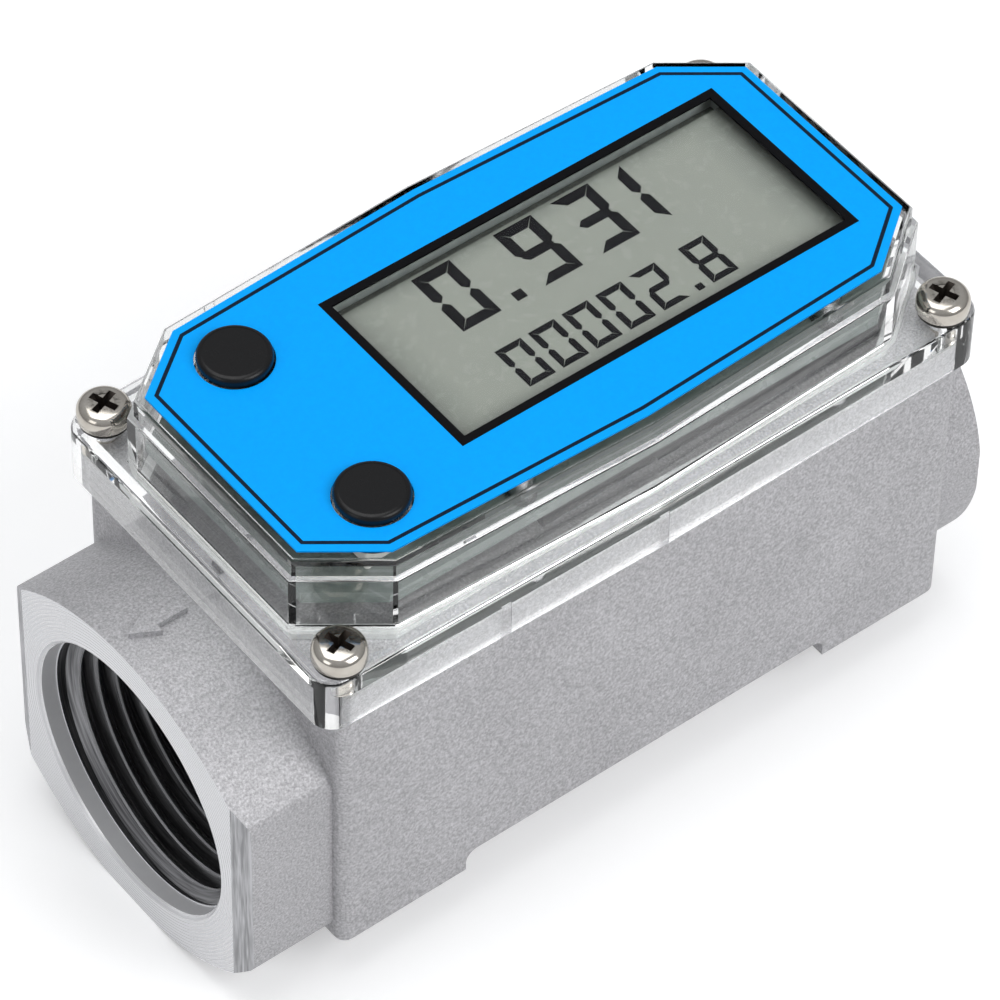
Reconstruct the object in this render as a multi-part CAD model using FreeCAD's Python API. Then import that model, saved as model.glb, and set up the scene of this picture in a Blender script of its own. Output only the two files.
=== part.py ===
"""Digital turbine flow meter with one-inch threaded ends.

Millimetres, +Z up, flow along X from the inlet (+X) to the outlet (-X).
The origin is on the base, below the middle of the overall length.
"""
import FreeCAD, Part
import math
import os

V = FreeCAD.Vector
X_AXIS = V(1, 0, 0)
Z_AXIS = V(0, 0, 1)

# ---- cast body ----
block_length = 85.2
block_width = 46.2
outlet_reach = 11.7
inlet_reach = 6.3
axis_height = 20.9
nozzle_half_flats = 21.5
nozzle_flat_height = 24.0
nozzle_rise = 21.2
nozzle_edge_round = 1.0
nozzle_chamfer_depth = 1.0
nozzle_chamfer_width = 2.4
block_edge_round = 1.6
root_fillet = 1.3
foot_drop = 14.6
foot_recess = 3.2
foot_recess_length = 51.0
foot_recess_round = 1.5
base_flat_width = 13.0

# ---- bore ----
thread_radius = 16.6
thread_depth = 19.0
mouth_chamfer = 0.5
throat_cone = 2.0
support_radius = 13.0
rotor_chamber_radius = 12.4
rotor_offset = 9.5

# ---- clear cover ----
cover_rise = 41.25
flange_length = 90.0
flange_width = 48.8
flange_corner_round = 2.7
flange_edge_bevel = 0.6
flange_drop = 9.85
flange_thickness = 3.0
skirt_height = 7.4
skirt_clearance = 0.25
dome_wall = 2.0
dome_top_wall = 1.5
ledge_drop = 2.5
ledge_width = 0.7
dome_edge_bevel = 0.35
dome_foot_fillet = 0.8
gasket_thickness = 0.8
gasket_width = 2.3

# ---- face label ----
label_line_length = 79.8
label_line_width = 36.5
label_corner_x = 7.2
label_corner_y = 5.4
label_margin = 1.13
label_thickness = 0.25
dome_margin = 1.1

# ---- display ----
window_length = 52.2
window_width = 23.3
window_shift_x = 8.7
window_shift_y = 0.4
panel_overlap = 1.1
panel_thickness = 2.4
panel_top_gap = 0.15
glass_thickness = 1.1
contact_ledge = 1.6
holder_wall = 0.8
holder_clearance = 0.1
board_thickness = 1.6
board_gap = 2.3
board_clearance = 0.5
zebra_width = 1.8

# ---- buttons ----
button_radius = 4.2
button_rise = 1.2
button_travel = 0.6
button_clearance = 0.25
button_lip = 0.5
button_lip_thickness = 0.9
button_shift_x = -30.2
button_shift_y = 12.1
button_edge_round = 0.7
stem_radius = 1.4
switch_side = 6.0
switch_height = 2.0
plunger_radius = 1.6
plunger_clearance = 0.3

# ---- fasteners ----
screw_inset_x = 3.8
screw_inset_y = 3.4
screw_radius = 1.25
screw_length = 9.0
screw_head_radius = 3.05
screw_head_height = 2.3
screw_crown = 1.3
screw_hole_clearance = 0.2
washer_thickness = 0.5
washer_radius = 2.85
post_radius = 1.75
post_spacing_x = 42.0
post_shift_x = 7.0
post_inset_y = 2.8
board_screw_radius = 0.8
board_screw_length = 5.0
board_screw_head_radius = 1.5
board_screw_head_height = 1.2

# ---- battery and pickup ----
pocket_floor_rise = 20.9
pocket_step = 0.8
cell_radius = 5.2
cell_length = 44.0
cell_gap = 1.0
cell_nub_radius = 1.9
cell_nub_length = 0.8
tray_wall = 0.8
tray_clearance = 0.15
contact_thickness = 0.4
coil_radius = 4.4
coil_core_radius = 1.4
coil_flange_thickness = 1.0
coil_height = 10.5
coil_well_wall = 2.3
coil_well_clearance = 0.3
winding_radius = 3.9

# ---- turbine ----
rotor_length = 9.0
rotor_hub_radius = 4.4
rotor_tip_clearance = 0.5
blade_count = 6
blade_root_thickness = 1.8
blade_tip_thickness = 1.0
blade_twist = 32.0
blade_stations = 4
bearing_outer_radius = 2.0
bearing_clearance = 0.05
shaft_radius = 1.2
shaft_seat = 7.0
rod_radius = 0.8
rod_length = 6.0
washer_end_float = 0.2
thrust_washer_thickness = 0.6
thrust_washer_radius = 2.6
support_length = 8.0
support_hub_length = 11.0
support_hub_radius = 4.2
support_rim = 1.1
support_clearance = 0.02
vane_count = 4
vane_thickness = 1.2
ring_thickness = 1.0
ring_groove_depth = 0.7
ring_slack = 0.05
ring_gap_angle = 50.0

# ---- places that follow from the sizes ----
total_length = outlet_reach + block_length + inlet_reach
outlet_x = -total_length / 2
inlet_x = total_length / 2
block_low_x = outlet_x + outlet_reach
block_high_x = block_low_x + block_length
mid_x = (block_low_x + block_high_x) / 2
cover_top = axis_height + cover_rise
label_top = cover_top + label_thickness
flange_top = cover_top - flange_drop
flange_under = flange_top - flange_thickness
skirt_bottom = flange_top - skirt_height
body_top = flange_under - gasket_thickness
pocket_floor = axis_height + pocket_floor_rise
dome_under = cover_top - dome_top_wall
panel_top = dome_under - panel_top_gap
panel_bottom = panel_top - panel_thickness
board_top = panel_bottom - board_gap
board_bottom = board_top - board_thickness
rotor_x = -rotor_offset
rotor_face_gap = washer_end_float + thrust_washer_thickness
screw_x = flange_length / 2 - screw_inset_x
screw_y = flange_width / 2 - screw_inset_y


# ---- shared shapes ----
def box(low_x, high_x, low_y, high_y, low_z, high_z):
    return Part.makeBox(high_x - low_x, high_y - low_y, high_z - low_z, V(low_x, low_y, low_z))


def upright(radius, x, y, low_z, high_z):
    return Part.makeCylinder(radius, high_z - low_z, V(x, y, low_z), Z_AXIS)


def along_bore(radius, low_x, high_x):
    return Part.makeCylinder(radius, high_x - low_x, V(low_x, 0, axis_height), X_AXIS)


def bore_cone(low_x, low_radius, high_x, high_radius):
    return Part.makeCone(low_radius, high_radius, high_x - low_x, V(low_x, 0, axis_height), X_AXIS)


def upright_edges(shape):
    return [e for e in shape.Edges if abs(e.tangentAt(e.FirstParameter).z) > 0.99]


def edges_at_height(shape, height):
    return [e for e in shape.Edges if abs(e.BoundBox.ZMin - height) + abs(e.BoundBox.ZMax - height) < 1e-4]


def rounded_box(length, width, low_z, high_z, corner):
    plain = box(mid_x - length / 2, mid_x + length / 2, -width / 2, width / 2, low_z, high_z)
    return plain.makeFillet(corner, upright_edges(plain))


def octagon_prism(offset, low_z, high_z):
    """Octagon parallel to the line round the label, moved outwards by the offset."""
    slant = math.hypot(label_corner_x, label_corner_y)
    normal_x = label_corner_y / slant
    normal_y = label_corner_x / slant
    line_x = label_line_length / 2
    line_y = label_line_width / 2
    reach = normal_x * (line_x - label_corner_x) + normal_y * line_y + offset
    half_x = line_x + offset
    half_y = line_y + offset
    cut_x = (reach - normal_y * half_y) / normal_x
    cut_y = (reach - normal_x * half_x) / normal_y
    quarter = [(half_x, cut_y), (cut_x, half_y)]
    ring = quarter + [(-x, y) for x, y in reversed(quarter)]
    ring += [(-x, -y) for x, y in ring]
    points = [V(mid_x + x, y, low_z) for x, y in ring]
    face = Part.Face(Part.makePolygon(points + points[:1]))
    return face.extrude(V(0, 0, high_z - low_z))


def revolved_upright(profile, x, y):
    """Solid of revolution about a vertical line, from (radius, height) points."""
    points = [V(x + radius, y, height) for radius, height in profile]
    face = Part.Face(Part.makePolygon(points + points[:1]))
    return face.revolve(V(x, y, 0), Z_AXIS, 360)


def revolved_bore(profile):
    """Solid of revolution about the bore, from (x, radius) points."""
    points = [V(x, 0, axis_height + radius) for x, radius in profile]
    face = Part.Face(Part.makePolygon(points + points[:1]))
    return face.revolve(V(0, 0, axis_height), X_AXIS, 360)


def at_four(x, y, maker):
    return [maker(mid_x + sx * x, sy * y) for sx in (-1, 1) for sy in (-1, 1)]


def group(shapes):
    return Part.makeCompound(shapes)


# ---- cast body ----
def nozzle_section(x):
    """Round section with two upright wrench flats and a narrow flat to stand on."""
    half = nozzle_half_flats
    corner = nozzle_flat_height / 2
    top = Part.Arc(V(x, half, corner), V(x, 0, nozzle_rise), V(x, -half, corner)).toShape()
    right = Part.LineSegment(V(x, -half, corner), V(x, -half, -corner)).toShape()
    bottom = Part.Arc(V(x, -half, -corner), V(x, 0, -nozzle_rise), V(x, half, -corner)).toShape()
    left = Part.LineSegment(V(x, half, -corner), V(x, half, corner)).toShape()
    wire = Part.Wire([top, right, bottom, left])
    wire.translate(V(0, 0, axis_height))
    return Part.Face(wire)


def barrel():
    solid = nozzle_section(outlet_x).extrude(V(total_length, 0, 0))
    long_edges = [e for e in solid.Edges if e.BoundBox.XLength > total_length - 1]
    solid = solid.makeFillet(nozzle_edge_round, long_edges)
    for end, inward in ((outlet_x, 1), (inlet_x, -1)):
        for side in (-1, 1):
            flat_y = side * nozzle_half_flats
            corner = V(end, flat_y, 0)
            back = V(end + inward * nozzle_chamfer_depth, flat_y, 0)
            across = V(end, flat_y - side * nozzle_chamfer_width, 0)
            wedge = Part.Face(Part.makePolygon([corner, back, across, corner]))
            solid = solid.cut(wedge.extrude(V(0, 0, 2 * axis_height)))
    return solid.cut(box(outlet_x - 1, inlet_x + 1, -block_width, block_width, -axis_height, 0))


def block():
    low_z = axis_height - foot_drop
    solid = rounded_box(block_length, block_width, low_z, body_top, block_edge_round)
    recess = box(mid_x - foot_recess_length / 2, mid_x + foot_recess_length / 2,
                 -block_width, block_width, low_z - foot_recess, low_z + foot_recess)
    solid = solid.cut(recess)
    steps = [e for e in solid.Edges
             if e.BoundBox.YLength > block_width - 0.1 and e.BoundBox.ZMax < low_z + foot_recess + 0.1
             and abs(abs(e.BoundBox.XMin - mid_x) - foot_recess_length / 2) < 0.1]
    return solid.makeFillet(foot_recess_round, steps)


def rounded_roots(solid):
    """Cast fillets where the nozzles leave the block's end walls, above its lower edge."""
    roots = []
    for e in solid.Edges:
        on_wall = min(abs(e.BoundBox.XMin - block_low_x), abs(e.BoundBox.XMax - block_high_x)) < 1e-3
        flat = e.BoundBox.XLength < 1e-3
        inside = e.BoundBox.YMax < block_width / 2 - 1.2 and e.BoundBox.YMin > -block_width / 2 + 1.2
        high = e.BoundBox.ZMin > axis_height - foot_drop + 0.5
        if on_wall and flat and inside and high and e.BoundBox.ZMax < body_top - 1:
            roots.append(e)
    return solid.makeFillet(root_fillet, roots)


def bore_space():
    """Everything that is machined out along the flow."""
    cuts = []
    for end, inward in ((outlet_x, 1), (inlet_x, -1)):
        wall = end + inward * thread_depth
        throat = wall + inward * throat_cone
        mouth = end + inward * mouth_chamfer
        cuts.append(along_bore(thread_radius, min(end, wall), max(end, wall)))
        wide = thread_radius + mouth_chamfer
        if inward > 0:
            cuts.append(bore_cone(end, wide, mouth, thread_radius))
            cuts.append(bore_cone(wall, thread_radius, throat, support_radius))
        else:
            cuts.append(bore_cone(mouth, thread_radius, end, wide))
            cuts.append(bore_cone(throat, support_radius, wall, thread_radius))
    space = along_bore(rotor_chamber_radius, outlet_x + thread_depth, inlet_x - thread_depth)
    for low_x, high_x in ((outlet_x + thread_depth + throat_cone, downstream_shoulder()),
                          (upstream_shoulder(), inlet_x - thread_depth - throat_cone)):
        cuts.append(along_bore(support_radius, low_x, high_x))
    for low_x in ring_places():
        cuts.append(along_bore(support_radius + ring_groove_depth, low_x, low_x + ring_thickness))
    return space.multiFuse(cuts)


def downstream_shoulder():
    return rotor_x - rotor_length / 2 - rotor_face_gap


def upstream_shoulder():
    return rotor_x + rotor_length / 2 + rotor_face_gap


def ring_places():
    low = downstream_shoulder() - support_length - ring_thickness
    high = upstream_shoulder() + support_length
    return (low, high)


def pocket_offset():
    return dome_offset() + ledge_width - dome_wall - pocket_step


def dome_offset():
    return label_margin + dome_margin


def meter_body():
    solid = block().fuse(barrel()).removeSplitter()
    solid = rounded_roots(solid)
    pocket = octagon_prism(pocket_offset(), pocket_floor, body_top + 1)
    well = upright(coil_radius + coil_well_clearance, rotor_x, 0,
                   coil_seat(), pocket_floor + 1)
    cuts = [pocket, well, bore_space()]
    cuts += at_four(screw_x, screw_y, lambda x, y: upright(screw_radius, x, y, screw_tip(), body_top + 1))
    return solid.cut(group(cuts))


# ---- clear cover ----
def display_cover():
    flange = rounded_box(flange_length, flange_width, skirt_bottom, flange_top, flange_corner_round)
    flange = flange.makeChamfer(flange_edge_bevel, edges_at_height(flange, flange_top))
    hollow = rounded_box(block_length + 2 * skirt_clearance, block_width + 2 * skirt_clearance,
                         skirt_bottom - 1, flange_under, block_edge_round + skirt_clearance)
    lower = octagon_prism(dome_offset() + ledge_width, flange_under, cover_top - ledge_drop)
    upper = octagon_prism(dome_offset(), cover_top - ledge_drop, cover_top)
    upper = upper.makeChamfer(dome_edge_bevel, edges_at_height(upper, cover_top))
    shell = flange.cut(hollow).fuse([lower, upper]).removeSplitter()
    foot = [e for e in edges_at_height(shell, flange_top) if e.BoundBox.XLength < flange_length - 4
            and abs(e.CenterOfMass.x - mid_x) < dome_half_length() + 0.1
            and abs(e.CenterOfMass.y) < dome_half_width() + 0.1]
    shell = shell.makeFillet(dome_foot_fillet, foot)
    inside = octagon_prism(dome_offset() + ledge_width - dome_wall, flange_under - 1, dome_under)
    shell = shell.cut(inside)
    posts = [upright(post_radius, x, y, board_top, dome_under) for x, y in post_places()]
    shell = shell.fuse(posts)
    holes = at_four(screw_x, screw_y, lambda x, y: upright(
        screw_radius + screw_hole_clearance, x, y, flange_under - 1, flange_top + 1))
    holes += [upright(button_radius + button_clearance, x, y, dome_under - 1, cover_top + 1)
              for x, y in button_places()]
    holes += [upright(board_screw_radius, x, y, board_top - 1, board_screw_tip())
              for x, y in post_places()]
    return shell.cut(group(holes))


def dome_half_length():
    return label_line_length / 2 + dome_offset() + ledge_width


def dome_half_width():
    return label_line_width / 2 + dome_offset() + ledge_width


def post_places():
    y = dome_half_width() - dome_wall - post_inset_y
    x = mid_x + post_shift_x
    return [(x + sx * post_spacing_x / 2, sy * y) for sx in (-1, 1) for sy in (-1, 1)]


def button_places():
    return [(mid_x + button_shift_x, -button_shift_y), (mid_x + button_shift_x, button_shift_y)]


def window_middle():
    return mid_x + window_shift_x, window_shift_y


def face_label():
    sheet = octagon_prism(label_margin, cover_top, label_top)
    x, y = window_middle()
    window = box(x - window_length / 2, x + window_length / 2, y - window_width / 2, y + window_width / 2,
                 cover_top - 1, label_top + 1)
    holes = [upright(button_radius + button_clearance, bx, by, cover_top - 1, label_top + 1)
             for bx, by in button_places()]
    return sheet.cut(group([window] + holes))


def cover_gasket():
    outer = octagon_prism(pocket_offset() + gasket_width, body_top, flange_under)
    return outer.cut(octagon_prism(pocket_offset() + 0.2, body_top - 1, flange_under + 1))


# ---- display stack ----
def centred_box(length, width, low_z, high_z):
    x, y = window_middle()
    return box(x - length / 2, x + length / 2, y - width / 2, y + width / 2, low_z, high_z)


def panel_length():
    return window_length + 2 * panel_overlap


def panel_width():
    return window_width + 2 * panel_overlap


def lcd_panel():
    rear = centred_box(panel_length(), panel_width(), panel_bottom, panel_bottom + glass_thickness)
    front = centred_box(panel_length(), panel_width() - 2 * contact_ledge,
                        panel_bottom + glass_thickness, panel_top)
    return rear.fuse(front).removeSplitter()


def lcd_holder():
    length = panel_length() + 2 * holder_clearance
    width = panel_width() + 2 * holder_clearance
    outer = centred_box(length + 2 * holder_wall, width + 2 * holder_wall, board_top, panel_top - 0.3)
    seat = centred_box(length, width, panel_bottom, panel_top + 1)
    inner = centred_box(length - 2 * holder_wall, width - 2 * holder_wall, board_top - 1, panel_top)
    return outer.cut(group([seat]).fuse(inner))


def zebra_strips():
    _, y = window_middle()
    offset = panel_width() / 2 - holder_wall - zebra_width / 2
    length = panel_length() - 4 * holder_wall
    strips = []
    for side in (-1, 1):
        strip = centred_box(length, zebra_width, board_top, panel_bottom)
        strip.translate(V(0, side * offset, 0))
        strips.append(strip)
    return group(strips)


def circuit_board():
    board = octagon_prism(dome_offset() + ledge_width - dome_wall - board_clearance, board_bottom, board_top)
    holes = [upright(board_screw_radius, x, y, board_bottom - 1, board_top + 1) for x, y in post_places()]
    return board.cut(group(holes))


def controller_chip():
    x, y = window_middle()
    side = 10.0
    height = 1.4
    package = box(x - side / 2, x + side / 2, y - side / 2, y + side / 2, board_top, board_top + height)
    return package.makeChamfer(0.25, edges_at_height(package, board_top + height))


def board_capacitor():
    radius = 2.5
    height = 5.6
    groove = 0.3
    x = mid_x + button_shift_x
    bottom = board_bottom - height
    profile = [(0, bottom), (radius, bottom), (radius, board_bottom - 1.4), (radius - groove, board_bottom - 1.1),
               (radius, board_bottom - 0.8), (radius, board_bottom), (0, board_bottom)]
    return revolved_upright(profile, x, 0)


def board_screw_tip():
    return board_bottom + board_screw_length


def board_screws():
    screws = []
    for x, y in post_places():
        low = board_bottom - board_screw_head_height
        profile = [(0, low), (board_screw_head_radius * 0.6, low),
                   (board_screw_head_radius, low + board_screw_head_height / 2),
                   (board_screw_head_radius, board_bottom), (board_screw_radius, board_bottom),
                   (board_screw_radius, board_screw_tip() - 0.4), (0, board_screw_tip() - 0.1)]
        screws.append(revolved_upright(profile, x, y))
    return group(screws)


# ---- buttons ----
def button_cap(x, y):
    lip_top = dome_under - 0.1
    lip_low = lip_top - button_lip_thickness
    stem_low = plunger_top()
    top = label_top + button_rise
    cap = upright(button_radius, x, y, lip_low, top)
    cap = cap.makeFillet(button_edge_round, edges_at_height(cap, top))
    lip = upright(button_radius + button_clearance + button_lip, x, y, lip_low, lip_top)
    stem = upright(stem_radius, x, y, stem_low, lip_low)
    return cap.fuse([lip, stem]).removeSplitter()


def plunger_top():
    return board_top + switch_height + button_travel + 0.3


def switch_plunger(x, y):
    low = board_top + 2 * button_travel - 0.4
    return upright(plunger_radius, x, y, low, plunger_top())


def switch_body(x, y):
    half = switch_side / 2
    case = box(x - half, x + half, y - half, y + half, board_top, board_top + switch_height)
    case = case.makeFillet(0.4, upright_edges(case))
    return case.cut(upright(plunger_radius + plunger_clearance, x, y, board_top + 0.1, board_top + switch_height + 1))


# ---- cover fasteners ----
def screw_tip():
    return flange_top + washer_thickness - screw_length


def cover_screw(x, y):
    """Pan-head screw: an upright rim under a crown that is part of a ball."""
    seat = flange_top + washer_thickness
    radius = screw_head_radius
    top = seat + screw_head_height
    rim = top - screw_crown
    ball_radius = (radius ** 2 + screw_crown ** 2) / (2 * screw_crown)
    ball_z = top - ball_radius
    outline = [V(x, y, screw_tip()), V(x + screw_radius - 0.4, y, screw_tip()),
               V(x + screw_radius, y, screw_tip() + 0.8), V(x + screw_radius, y, seat),
               V(x + radius - 0.2, y, seat), V(x + radius, y, seat + 0.25), V(x + radius, y, rim)]
    edges = [Part.LineSegment(a, b).toShape() for a, b in zip(outline, outline[1:])]
    crown = V(x, y, top)
    half_way = radius / 2
    shoulder = V(x + half_way, y, ball_z + math.sqrt(ball_radius ** 2 - half_way ** 2))
    edges.append(Part.Arc(outline[-1], shoulder, crown).toShape())
    edges.append(Part.LineSegment(crown, outline[0]).toShape())
    return Part.Face(Part.Wire(edges)).revolve(V(x, y, 0), Z_AXIS, 360)


def cover_washer(x, y):
    ring = upright(washer_radius, x, y, flange_top, flange_top + washer_thickness)
    return ring.cut(upright(screw_radius, x, y, flange_top - 1, flange_top + 1))


# ---- battery and pickup ----
def tray_high_x():
    return mid_x + label_line_length / 2 + pocket_offset() - tray_clearance


def tray_length():
    return cell_length + cell_nub_length + 2 * contact_thickness + 2 * tray_wall


def cell_height():
    return pocket_floor + tray_wall + cell_radius


def cell_offset():
    return cell_radius + cell_gap / 2


def battery_tray():
    high_x = tray_high_x()
    low_x = high_x - tray_length()
    half_width = 2 * cell_radius + cell_gap / 2 + tray_wall
    tray = box(low_x, high_x, -half_width, half_width, pocket_floor, cell_height())
    cuts = []
    for side in (-1, 1):
        start = V(low_x + tray_wall, side * cell_offset(), cell_height())
        cuts.append(Part.makeCylinder(cell_radius, tray_length() - 2 * tray_wall, start, X_AXIS))
    return tray.cut(group(cuts))


def battery_cells():
    cells = []
    low_x = tray_high_x() - tray_wall - contact_thickness - cell_length
    for side in (-1, 1):
        y = side * cell_offset()
        can = Part.makeCylinder(cell_radius, cell_length, V(low_x, y, cell_height()), X_AXIS)
        can = can.makeFillet(0.5, [e for e in can.Edges if e.BoundBox.XLength < 0.01])
        nub_x = low_x - cell_nub_length
        nub = Part.makeCylinder(cell_nub_radius, cell_nub_length, V(nub_x, y, cell_height()), X_AXIS)
        cells.append(can.fuse(nub))
    return group(cells)


def battery_contacts():
    low_x = tray_high_x() - tray_length() + tray_wall
    high_x = tray_high_x() - tray_wall
    plates = []
    reach = cell_radius * 0.7
    for side in (-1, 1):
        y = side * cell_offset()
        plates.append(box(low_x, low_x + contact_thickness, y - reach, y + reach,
                          cell_height() - reach, cell_height() + reach))
    bridge = cell_offset() + reach
    plates.append(box(high_x - contact_thickness, high_x, -bridge, bridge,
                      cell_height(), cell_height() + reach))
    return group(plates)


def coil_seat():
    return axis_height + rotor_chamber_radius + coil_well_wall


def pickup_coil():
    low = coil_seat()
    high = low + coil_height
    flange = coil_flange_thickness
    profile = [(coil_core_radius, low), (coil_radius, low), (coil_radius, low + flange),
               (winding_radius, low + flange), (winding_radius, high - flange),
               (coil_radius, high - flange), (coil_radius, high), (coil_core_radius, high)]
    return revolved_upright(profile, rotor_x, 0)


def coil_core():
    return upright(coil_core_radius, rotor_x, 0, coil_seat(), coil_seat() + coil_height + 1.0)


# ---- turbine ----
def blade():
    """One helical blade: a tapered radial section turned as it runs along the hub."""
    tip = rotor_chamber_radius - rotor_tip_clearance
    root = rotor_hub_radius - 0.8
    sections = []
    for station in range(blade_stations + 1):
        share = station / blade_stations
        x = rotor_x - rotor_length / 2 + share * rotor_length
        corners = [V(x, -blade_root_thickness / 2, root), V(x, blade_root_thickness / 2, root),
                   V(x, blade_tip_thickness / 2, tip + 1), V(x, -blade_tip_thickness / 2, tip + 1)]
        wire = Part.makePolygon(corners + corners[:1])
        wire.rotate(V(0, 0, 0), X_AXIS, blade_twist * share)
        sections.append(wire)
    solid = Part.makeLoft(sections, True, False)
    solid.translate(V(0, 0, axis_height))
    return solid.common(along_bore(tip, rotor_x - rotor_length, rotor_x + rotor_length))


def rotor():
    low = rotor_x - rotor_length / 2
    high = rotor_x + rotor_length / 2
    hub = along_bore(rotor_hub_radius, low, high)
    hub = hub.makeChamfer(0.5, [e for e in hub.Edges if e.BoundBox.XLength < 0.01])
    one = blade()
    blades = []
    for number in range(blade_count):
        turned = one.copy()
        turned.rotate(V(0, 0, axis_height), X_AXIS, number * 360 / blade_count)
        blades.append(turned)
    wheel = hub.fuse(blades)
    cuts = [along_bore(bearing_outer_radius, low - 1, high + 1)]
    return wheel.cut(group(cuts + rods()))


def rods():
    radius = (bearing_outer_radius + rotor_hub_radius) / 2
    return [Part.makeCylinder(rod_radius, rod_length,
                              V(rotor_x - rod_length / 2, side * radius, axis_height), X_AXIS)
            for side in (-1, 1)]


def rotor_bearing():
    low = rotor_x - rotor_length / 2
    high = rotor_x + rotor_length / 2
    sleeve = along_bore(bearing_outer_radius, low, high)
    return sleeve.cut(along_bore(shaft_radius + bearing_clearance, low - 1, high + 1))


def shaft_reach():
    return rotor_length / 2 + rotor_face_gap + shaft_seat


def rotor_shaft():
    return along_bore(shaft_radius, rotor_x - shaft_reach(), rotor_x + shaft_reach())


def thrust_washers():
    washers = []
    for low_x in (downstream_shoulder(), upstream_shoulder() - thrust_washer_thickness):
        disc = along_bore(thrust_washer_radius, low_x, low_x + thrust_washer_thickness)
        washers.append(disc.cut(along_bore(shaft_radius, low_x - 1, low_x + 2)))
    return group(washers)


def support(face_x, away):
    """Hub on straight vanes inside a rim, with a rounded nose pointing away from the rotor."""
    far_x = face_x + away * support_length
    nose_x = face_x + away * support_hub_length
    outer = support_radius - support_clearance
    low_x = min(face_x, far_x)
    rim = along_bore(outer, low_x, low_x + support_length)
    rim = rim.cut(along_bore(outer - support_rim, low_x - 1, low_x + support_length + 1))
    straight = support_hub_length - support_hub_radius
    shoulder_x = face_x + away * straight
    lean = support_hub_radius * math.sqrt(0.5)
    line = Part.LineSegment(V(face_x, 0, support_hub_radius), V(shoulder_x, 0, support_hub_radius)).toShape()
    middle = V(shoulder_x + away * lean, 0, lean)
    nose = Part.Arc(V(shoulder_x, 0, support_hub_radius), middle, V(nose_x, 0, 0)).toShape()
    base = Part.makePolygon([V(nose_x, 0, 0), V(face_x, 0, 0), V(face_x, 0, support_hub_radius)])
    wire = Part.Wire([line, nose] + base.Edges)
    hub = Part.Face(wire).revolve(V(0, 0, 0), X_AXIS, 360)
    hub.translate(V(0, 0, axis_height))
    vanes = []
    for number in range(vane_count):
        vane = box(low_x, low_x + support_length, -vane_thickness / 2, vane_thickness / 2,
                   axis_height + support_hub_radius - 1, axis_height + outer - support_rim / 2)
        vane.rotate(V(0, 0, axis_height), X_AXIS, 45 + number * 360 / vane_count)
        vanes.append(vane)
    solid = hub.fuse([rim] + vanes).removeSplitter()
    return solid.cut(rotor_shaft())


def retaining_ring(low_x):
    outer = support_radius + ring_groove_depth - ring_slack
    ring = along_bore(outer, low_x, low_x + ring_thickness)
    ring = ring.cut(along_bore(support_radius - 1.2, low_x - 1, low_x + 2))
    gap_half = math.radians(ring_gap_angle / 2)
    reach = 2 * support_radius
    corners = [V(low_x - 1, 0, 0), V(low_x - 1, -reach * math.sin(gap_half), -reach * math.cos(gap_half)),
               V(low_x - 1, reach * math.sin(gap_half), -reach * math.cos(gap_half))]
    gap = Part.Face(Part.makePolygon(corners + corners[:1])).extrude(V(3, 0, 0))
    gap.translate(V(0, 0, axis_height))
    return ring.cut(gap)


def sub_parts():
    front, rear = button_places()
    return {
        "meter_body": meter_body(),
        "display_cover": display_cover(),
        "face_label": face_label(),
        "cover_gasket": cover_gasket(),
        "cover_screws": group(at_four(screw_x, screw_y, cover_screw)),
        "cover_washers": group(at_four(screw_x, screw_y, cover_washer)),
        "lcd_panel": lcd_panel(),
        "lcd_holder": lcd_holder(),
        "zebra_strips": zebra_strips(),
        "circuit_board": circuit_board(),
        "controller_chip": controller_chip(),
        "board_capacitor": board_capacitor(),
        "board_screws": board_screws(),
        "display_button": button_cap(*front),
        "display_plunger": switch_plunger(*front),
        "display_switch": switch_body(*front),
        "calibrate_button": button_cap(*rear),
        "calibrate_plunger": switch_plunger(*rear),
        "calibrate_switch": switch_body(*rear),
        "battery_tray": battery_tray(),
        "battery_cells": battery_cells(),
        "battery_contacts": battery_contacts(),
        "pickup_coil": pickup_coil(),
        "coil_core": coil_core(),
        "rotor": rotor(),
        "rotor_bearing": rotor_bearing(),
        "rotor_rods": group(rods()),
        "rotor_shaft": rotor_shaft(),
        "thrust_washers": thrust_washers(),
        "downstream_support": support(downstream_shoulder(), -1),
        "upstream_support": support(upstream_shoulder(), 1),
        "retaining_rings": group([retaining_ring(x) for x in ring_places()]),
    }


os.makedirs("parts", exist_ok=True)
for name, shape in sub_parts().items():
    shape.exportStep(os.path.join("parts", name + ".step"))
    bounds = shape.BoundBox
    print(name, len(shape.Solids), "valid" if shape.isValid() else "NOT VALID", round(shape.Volume, 1),
          [round(v, 2) for v in (bounds.XMin, bounds.YMin, bounds.ZMin, bounds.XMax, bounds.YMax, bounds.ZMax)])
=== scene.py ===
"""Looks of a digital turbine flow meter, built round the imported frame.

The frame is in metres, +Z up. Sizes below are in millimetres and become metres in the
helpers. The flow runs along X, and the outlet nozzle points to -X.
"""
import math

import bmesh
import bpy
from mathutils import Matrix, Vector


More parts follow.
